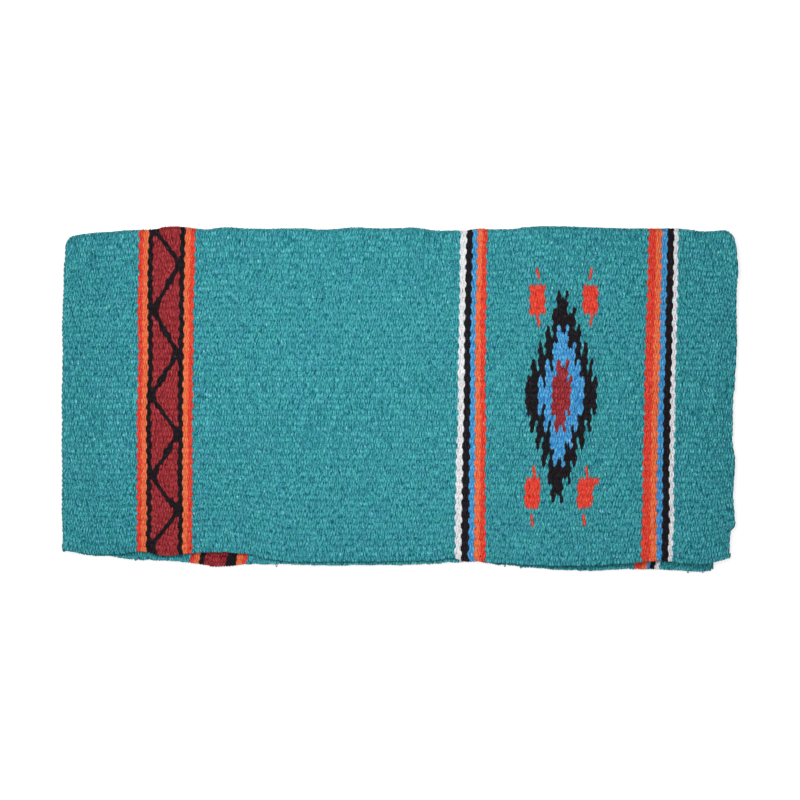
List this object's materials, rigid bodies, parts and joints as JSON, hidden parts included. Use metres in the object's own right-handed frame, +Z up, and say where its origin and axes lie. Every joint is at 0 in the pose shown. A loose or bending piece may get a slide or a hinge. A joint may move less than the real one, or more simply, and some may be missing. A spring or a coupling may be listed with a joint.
{
  "type": "saddle blanket",
  "caption": "Woven wool saddle blanket folded in quarters, with stripes, a zigzag band and a serrated diamond; its upper half opens at the second fold.",
  "frame": {"origin": "centre of the folded blanket's footprint, on the surface that it lies on", "axes": "+X along the warps, from the first fold to the woven ends; +Y along the wefts, towards the second fold; +Z up through the four layers"},
  "size_m": [0.83, 0.418, 0.0209],
  "materials": {
    "wool_teal": "matt woven wool blend, heathered teal with darker and lighter flecks",
    "wool_red": "matt woven wool blend, warm red",
    "wool_orange": "matt woven wool blend, orange",
    "wool_black": "matt woven wool blend, black",
    "wool_maroon": "matt woven wool blend, dark maroon red",
    "wool_blue": "matt woven wool blend, sky blue",
    "wool_white": "matt woven wool blend, natural white with a lilac cast in the shade",
    "warp_yarn": "twisted undyed warp yarn, hidden by the packed wefts"
  },
  "bodies": {
    "lower_half": {"bottom_band": "wool_maroon", "bottom_diamond_field": "wool_teal", "bottom_end_field": "wool_teal", "bottom_end_stripes": "wool_red", "bottom_mid_field": "wool_teal", "bottom_middle_stripes": "wool_red", "inner_wrap": "wool_teal", "lower_fold_field": "wool_teal", "lower_warps": "warp_yarn", "third_band": "wool_maroon", "third_diamond_field": "wool_teal", "third_end_field": "wool_teal", "third_end_stripes": "wool_red", "third_mid_field": "wool_teal", "third_middle_stripes": "wool_red", "wrap_band": "wool_maroon", "wrap_diamond_field": "wool_teal", "wrap_end_field": "wool_teal", "wrap_end_stripes": "wool_red", "wrap_fold_field": "wool_teal", "wrap_mid_field": "wool_teal", "wrap_middle_stripes": "wool_red"},
    "upper_half": {"second_band": "wool_maroon", "second_diamond_field": "wool_teal", "second_end_field": "wool_teal", "second_end_stripes": "wool_red", "second_mid_field": "wool_teal", "second_middle_stripes": "wool_red", "top_band_inner_black": "wool_black", "top_band_inner_orange": "wool_orange", "top_band_inner_red": "wool_red", "top_band_maroon_inner": "wool_maroon", "top_band_maroon_outer": "wool_maroon", "top_band_outer_black": "wool_black", "top_band_outer_orange": "wool_orange", "top_band_outer_red": "wool_red", "top_diamond_black": "wool_black", "top_diamond_blue": "wool_blue", "top_diamond_field": "wool_teal", "top_diamond_maroon": "wool_maroon", "top_end_field": "wool_teal", "top_end_stripe_black": "wool_black", "top_end_stripe_blue": "wool_blue", "top_end_stripe_orange": "wool_orange", "top_end_stripe_red": "wool_red", "top_end_stripe_white": "wool_white", "top_mid_field": "wool_teal", "top_middle_stripe_black": "wool_black", "top_middle_stripe_blue": "wool_blue", "top_middle_stripe_orange": "wool_orange", "top_middle_stripe_red": "wool_red", "top_middle_stripe_white": "wool_white", "top_motif_far_left": "wool_red", "top_motif_far_right": "wool_red", "top_motif_near_left": "wool_red", "top_motif_near_right": "wool_red", "top_zigzag": "wool_black", "upper_fold_field": "wool_teal", "upper_warps": "warp_yarn"}
  },
  "joints": [
    {"name": "second_fold_opens", "type": "hinge", "parent": "lower_half", "child": "upper_half", "pos_m": [0, 0.1984, 0.01045], "axis": [-1, 0, 0], "range_deg": [0, 180], "deforming": ["wrap_band", "wrap_diamond_field", "wrap_end_field", "wrap_end_stripes", "wrap_fold_field", "wrap_mid_field", "wrap_middle_stripes", "inner_wrap"]}
  ]
}
